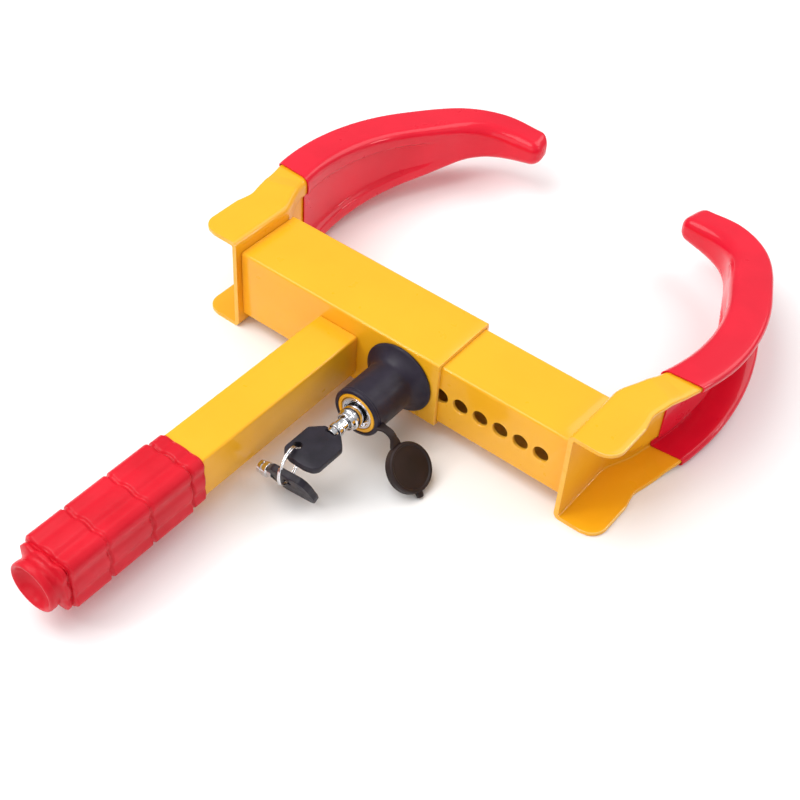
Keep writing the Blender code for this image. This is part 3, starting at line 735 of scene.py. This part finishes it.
def build_lock():
    end = SLEEVE_LENGTH
    bore = 13.5
    flare = [(GAP, bore), (GAP, BOOT_FLARE - 0.6), (GAP + 0.5, BOOT_FLARE), (1.6, BOOT_FLARE),
             (2.1, BOOT_FLARE - 0.4)]
    for k in range(1, 19):
        share = k / 18
        drop = 1 - (1 - share) ** 2.3
        flare.append((2.1 + 9.5 * share, BOOT_FLARE - 0.4 - (BOOT_FLARE - 0.4 - BOOT_RADIUS) * drop))
    front = [(end - 3.4, BOOT_RADIUS), (end - 3.0, BOOT_RADIUS - 0.35), (end - 2.6, BOOT_RADIUS - 0.35),
             (end - 2.2, BOOT_RADIUS), (end - 1.0, BOOT_RADIUS), (end - 0.3, BOOT_RADIUS - 0.4),
             (end, BOOT_RADIUS - 1.0), (end, bore + 0.5), (end - 0.4, bore)]
    make_piece("boot_moulding", turned(flare + front, LOCK), BOOT, "clamp_body", "black_rubber", "lock_boot")

    sleeve = rounded_profile(((GAP, 11.0, 0.0), (GAP, 13.2, 0.0), (end - 0.2, 13.2, 0.5), (end - 0.2, 11.0, 0.5)))
    make_piece("sleeve_ring", turned(sleeve, LOCK), YELLOW, "clamp_body", "yellow_paint", "lock_sleeve")

    housing = rounded_profile(((GAP, 4.6, 0.0), (GAP, 10.7, 0.0), (end - 0.3, 10.7, 0.6), (end - 0.3, 9.2, 0.4),
                               (end - 3.6, 8.8, 0.2), (end - 3.6, 7.3, 0.0), (2.3, 7.3, 0.0), (2.3, 4.6, 0.0)))
    make_piece("housing_barrel", turned(housing, LOCK), CHROME, "clamp_body", "chrome", "lock_housing")

    plunger = rounded_profile(((-1.9, 0.0, 0.0), (-1.9, 4.2, 0.8), (15.5, 4.2, 0.0), (15.5, 7.0, 0.4),
                               (47.6, 7.0, 0.5), (48.4, 6.2, 0.2), (51.0, 6.2, 0.5), (51.0, 5.2, 0.1),
                               (24.0, 5.2, 0.0), (24.0, 0.0, 0.0)))
    barrel = make_piece("plunger_barrel", turned(plunger, LOCK), CHROME, "plunger", "chrome", "lock_plunger")
    slot = bmesh.new()
    bmesh.ops.create_cube(slot, size=1.0)
    slot.transform(Matrix.Translation(LOCK + Vector((0.0, -35.0, 7.5))) @ Matrix.Diagonal((2.6, 12.6, 3.0, 1.0)))
    cut_away(barrel, slot)

    core = rounded_profile(((24.3, 0.0, 0.0), (24.3, 4.9, 0.0), (50.4, 4.9, 0.2), (50.4, 4.4, 0.1),
                            (42.4, 4.4, 0.0), (42.4, 2.7, 0.0), (50.4, 2.7, 0.4), (50.4, 0.0, 0.0)))
    make_piece("core_barrel", turned(core, LOCK, 64), CHROME, "core", "chrome", "lock_core")


def build_spring():
    """The coil between the housing and the plunger's back, built at one fixed length, though the real coil shortens
    as the plunger goes in.
    """
    first, last = 3.2, 14.6
    turns = 4
    steps = 40
    rings = []
    for k in range(turns * steps + 1):
        angle = 2 * math.pi * k / steps
        back = Vector((0.0, -first - (last - first) * k / (turns * steps), 0.0))
        spoke = Vector((math.cos(angle), 0.0, math.sin(angle)))
        ring = []
        for turn in (2 * math.pi * m / 12 for m in range(12)):
            offset = Vector((0.0, 0.5 * math.sin(turn), 0.0))
            ring.append(LOCK + back + spoke * (5.75 + 0.5 * math.cos(turn)) + offset)
        rings.append(ring)
    coil = make_piece("coil_spring", loft(rings), STEEL, "clamp_body", "steel", "return_spring", sharp=60.0)
    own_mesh(coil)


# Keys

def key_tube_profile(tip, root):
    return rounded_profile(((tip, 3.0, 0.2), (tip, 4.05, 0.3), (root - 5.6, 4.05, 0.0), (root - 5.2, 3.7, 0.1),
                            (root - 4.6, 3.7, 0.1), (root - 4.2, 4.65, 0.2), (root - 1.2, 4.65, 0.4),
                            (root - 0.8, 3.35, 0.2), (root + 2.2, 3.35, 0.3), (root + 2.2, 0.0, 0.0),
                            (root - 3.4, 0.0, 0.0), (root - 4.0, 3.0, 0.0)), 4)


def build_key_head(name, root, along, across, normal, hole_along, hole_across, body, node):
    half = KEY_HEAD_WIDTH / 2
    end = KEY_HEAD_LENGTH
    notch = 3.65
    corners = ((0.0, notch, 0.4), (0.0, half - 7.0, 1.2), (7.0, half, 1.6), (end - 4.5, half, 1.2),
               (end - 1.5, half - 2.2, 1.2), (end, half - 7.5, 1.2), (end, -half + 7.5, 1.2),
               (end - 1.5, -half + 2.2, 1.2), (end - 4.5, -half, 1.2), (7.0, -half, 1.6), (0.0, -half + 7.0, 1.2),
               (0.0, -notch, 0.4), (2.8, -notch, 0.3), (2.8, notch, 0.3))
    outline = rounded_profile(corners)
    thick = KEY_HEAD_THICK / 2
    edge = 0.45
    holes = [(hole_along + KEY_HOLE_RADIUS * math.cos(2 * math.pi * k / 40),
              hole_across + KEY_HOLE_RADIUS * math.sin(2 * math.pi * k / 40)) for k in range(40)]
    builder = bmesh.new()

    def loop(points, up, inset):
        placed = []
        count = len(points)
        for i, (a, b) in enumerate(points):
            run = Vector(points[(i + 1) % count]) - Vector(points[i - 1])
            side = Vector((run.y, -run.x)).normalized() * inset
            placed.append(builder.verts.new(root + along * (a + side.x) + across * (b + side.y) + normal * up))
        return placed

    for points, sign in ((outline, 1.0), (holes, -1.0)):
        rings = [loop(points, -thick, sign * edge), loop(points, -thick + edge * 0.3, sign * edge * 0.3),
                 loop(points, -thick + edge, 0.0), loop(points, thick - edge, 0.0),
                 loop(points, thick - edge * 0.3, sign * edge * 0.3), loop(points, thick, sign * edge)]
        skin_rings(builder, rings)
        if points is outline:
            faces_of = [rings[0], rings[-1]]
        else:
            for outer, inner in zip(faces_of, (rings[0], rings[-1])):
                edges = []
                for ring in (outer, inner):
                    for i, vert in enumerate(ring):
                        joined = builder.edges.get((vert, ring[(i + 1) % len(ring)]))
                        edges.append(joined)
                bmesh.ops.triangle_fill(builder, use_beauty=True, edges=edges)
    make_piece(name, builder, PLASTIC, body, "black_plastic", node, sharp=50.0)


def build_keys():
    down = Vector((0.0, -1.0, 0.0))
    sideways = Vector((1.0, 0.0, 0.0))
    up = Vector((0.0, 0.0, 1.0))
    shaft = turned(key_tube_profile(42.8, KEY_HEAD_START), LOCK, 64)
    make_piece("key_tube", shaft, CHROME, "key", "chrome", "key_shaft")
    root = LOCK + down * KEY_HEAD_START
    build_key_head("key_head_moulding", root, down, sideways, up, 22.0, -7.6, "key", "key_head")

    strands = []
    normal = RING_OUT.cross(up)
    wire = 0.55
    steps = 150
    for k in range(steps + 1):
        angle = 4 * math.pi * k / steps + 0.6
        spoke = RING_OUT * math.cos(angle) + up * math.sin(angle)
        shift = -0.6 + 1.2 * smooth((k / steps - 0.4) / 0.2)
        centre = RING_CENTRE + spoke * RING_RADIUS + normal * shift
        strands.append([centre + spoke * wire * 0.8 * math.cos(turn) + normal * wire * math.sin(turn)
                        for turn in (2 * math.pi * m / 14 for m in range(14))])
    make_piece("split_ring", loft(strands), CHROME, "ring", "chrome", "key_ring")

    along = SPARE_AXIS
    face = (SPARE_NORMAL - along * SPARE_NORMAL.dot(along)).normalized()
    across = face.cross(along).normalized()
    if across.z < 0:
        across = -across
    hole = RING_CENTRE - up * RING_RADIUS
    root = hole - along * SPARE_HOLE_ALONG - across * SPARE_HOLE_ACROSS
    build_key_head("spare_key_moulding", root, along, across, face, SPARE_HOLE_ALONG, SPARE_HOLE_ACROSS,
                   "spare_key", "spare_key_head")
    turn = Matrix(((along.x, across.x, face.x), (along.y, across.y, face.y), (along.z, across.z, face.z)))
    lie = turn.to_4x4() @ Matrix.Rotation(math.radians(90), 4, "Z")
    place = Matrix.Translation(root - along * SPARE_SHAFT) @ lie
    shaft = turned(key_tube_profile(0.0, SPARE_SHAFT), Vector((0.0, 0.0, 0.0)), 64, place)
    make_piece("spare_key_tube", shaft, CHROME, "spare_key", "chrome", "spare_key_shaft")


# Dust cap

def build_cap():
    rim = CAP_RADIUS
    profile = rounded_profile(((0.9, 0.0, 0.0), (0.9, rim - 2.6, 0.3), (0.0, rim - 1.9, 0.4), (0.0, rim - 0.6, 0.5),
                               (1.2, rim, 0.5), (CAP_DEPTH - 1.2, rim, 0.3), (CAP_DEPTH, rim - 0.4, 0.4),
                               (CAP_DEPTH, rim - 2.0, 0.3), (2.6, rim - 2.0, 0.3), (2.6, 0.0, 0.0)))
    face_up = Matrix.Rotation(math.radians(90), 4, "X")
    lean = Matrix.Rotation(math.radians(CAP_TILT), 4, "Y")
    place = Matrix.Translation(CAP_CENTRE) @ lean @ face_up
    cup = turned(profile, Vector((0.0, 0.0, 0.0)), 96, place)
    make_piece("cap_moulding", cup, CAP, "cap", "black_rubber", "dust_cap")

    tab_outline = rounded_profile(((0.0, -2.1, 0.0), (3.6, -2.1, 1.6), (3.6, 2.1, 1.6), (0.0, 2.1, 0.0)))
    tab_base = Matrix.Translation(CAP_CENTRE) @ lean
    towards = Vector((math.cos(math.radians(-15.0)), math.sin(math.radians(-15.0)), 0.0))
    beside = Vector((-towards.y, towards.x, 0.0))
    layers = []
    for depth, inset in ((-0.8, 0.5), (-1.2, 0.0), (-3.0, 0.0), (-3.4, 0.5)):
        layer = []
        for out, side in tab_outline:
            local = towards * (rim - 0.5 + max(0.0, out - inset)) + beside * side * (1 - inset * 0.2)
            layer.append(tab_base @ (local + Vector((0.0, 0.0, depth))))
        layers.append(layer)
    make_piece("cap_tab", loft(layers), CAP, "cap", "black_rubber", sharp=50.0)


def build_strap():
    lean = math.radians(CAP_TILT)
    inward = Vector((-math.cos(lean), 0.0, math.sin(lean)))
    below = Vector((-math.sin(lean), 0.0, -math.cos(lean)))
    end = CAP_CENTRE + inward * (CAP_RADIUS + 0.1) + below * 2.6
    start = Vector((LOCK.x + BOOT_RADIUS - 0.2, CAP_PIVOT.y, -2.0))
    control = [start, start + Vector((7.0, 0.0, 1.0)), end + inward * 3.0 + Vector((0.0, 0.0, 6.0)), end]
    sections = []
    steps = 40
    for k in range(steps + 1):
        t = k / steps
        s = 1 - t
        point = control[0] * s ** 3 + control[1] * 3 * s * s * t + control[2] * 3 * s * t * t + control[3] * t ** 3
        run = ((control[1] - control[0]) * s * s + (control[2] - control[1]) * 2 * s * t
               + (control[3] - control[2]) * t * t).normalized()
        across = Vector((0.0, 1.0, 0.0))
        up = run.cross(across).normalized()
        widen = 1.0 + 0.5 * smooth((t - 0.72) / 0.28) + 0.35 * smooth((0.2 - t) / 0.2)
        outline = rounded_square(2.6 * widen, 1.0 + 0.25 * smooth((t - 0.7) / 0.3), 0.9, 4)
        sections.append([point + across * a + up * b for a, b in outline])
    strap = make_piece("cap_tether", loft(sections), CAP, None, "black_rubber", "cap_strap", sharp=50.0)
    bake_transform(strap)


def place(point):
    return BAR_ZERO + Vector(point) * MM


# Studio

def build_studio():
    mesh = bpy.data.meshes.new("studio_floor")
    builder = bmesh.new()
    bmesh.ops.create_grid(builder, x_segments=2, y_segments=2, size=4.0)
    builder.to_mesh(mesh)
    builder.free()
    floor = bpy.data.objects.new("studio_floor", mesh)
    floor.location.z = FLOOR_Z
    bpy.context.scene.collection.objects.link(floor)
    pale = Finish("studio_floor", (0.93, 0.93, 0.93), 0.8)
    mesh.materials.append(pale.material)

    world = bpy.data.worlds.new("studio")
    bpy.context.scene.world = world
    world.use_nodes = True
    background = world.node_tree.nodes["Background"]
    coordinates = world.node_tree.nodes.new("ShaderNodeTexCoord")
    split = world.node_tree.nodes.new("ShaderNodeSeparateXYZ")
    ramp = world.node_tree.nodes.new("ShaderNodeValToRGB")
    ramp.color_ramp.elements[0].position = 0.0
    ramp.color_ramp.elements[0].color = (0.34, 0.34, 0.35, 1.0)
    ramp.color_ramp.elements[1].position = 0.75
    ramp.color_ramp.elements[1].color = (1.0, 1.0, 1.0, 1.0)
    world.node_tree.links.new(coordinates.outputs["Generated"], split.inputs["Vector"])
    world.node_tree.links.new(split.outputs["Z"], ramp.inputs["Fac"])
    world.node_tree.links.new(ramp.outputs["Color"], background.inputs["Color"])
    background.inputs["Strength"].default_value = 0.62

    middle = (CAD_BOUNDS[0] + CAD_BOUNDS[1]) / 2
    for name, spot, size, power in (("front_rim_light", (-0.50, -0.88, 0.71), 0.16, 1.3),
                                    ("side_rim_light", (0.88, 0.70, 0.50), 0.16, 1.3),
                                    ("key_light", (-0.55, -0.35, 1.25), 1.2, 15.0),
                                    ("fill_light", (0.30, -1.15, 0.75), 0.9, 3.0),
                                    ("back_light", (0.35, 1.05, 0.95), 0.9, 5.5)):
        light = bpy.data.lights.new(name, "AREA")
        light.size = size
        light.energy = power
        lamp = bpy.data.objects.new(name, light)
        lamp.location = middle + Vector(spot)
        lamp.rotation_euler = (middle - lamp.location).to_track_quat("-Z", "Y").to_euler()
        bpy.context.scene.collection.objects.link(lamp)


def build_camera():
    camera = bpy.data.cameras.new("camera")
    camera.lens = 63.075
    camera.sensor_width = 36.0
    camera.shift_x = -0.00104
    camera.shift_y = 0.00904
    camera.clip_start = 0.01
    view = bpy.data.objects.new("camera", camera)
    view.location = (0.39415, -0.53854, 0.58042)
    view.rotation_euler = [math.radians(angle) for angle in (44.497, -3.0626, 38.1048)]
    bpy.context.scene.collection.objects.link(view)
    bpy.context.scene.camera = view


build_camera()
build_studio()
build_tubes()
build_arm("fixed_arm", -GAP, -1, "clamp_body", "fixed_arm", "fixed_arm_skin")
build_arm("sliding_arm", RAIL_END + GAP, 1, "sliding_jaw", "sliding_arm", "sliding_arm_skin")
build_grip()
build_lock()
build_spring()
build_keys()
build_cap()
build_strap()
stop_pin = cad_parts["stop_pin"]
stop_pin.data.materials.clear()
stop_pin.data.materials.append(STEEL)
bpy.context.scene.view_settings.view_transform = "Standard"
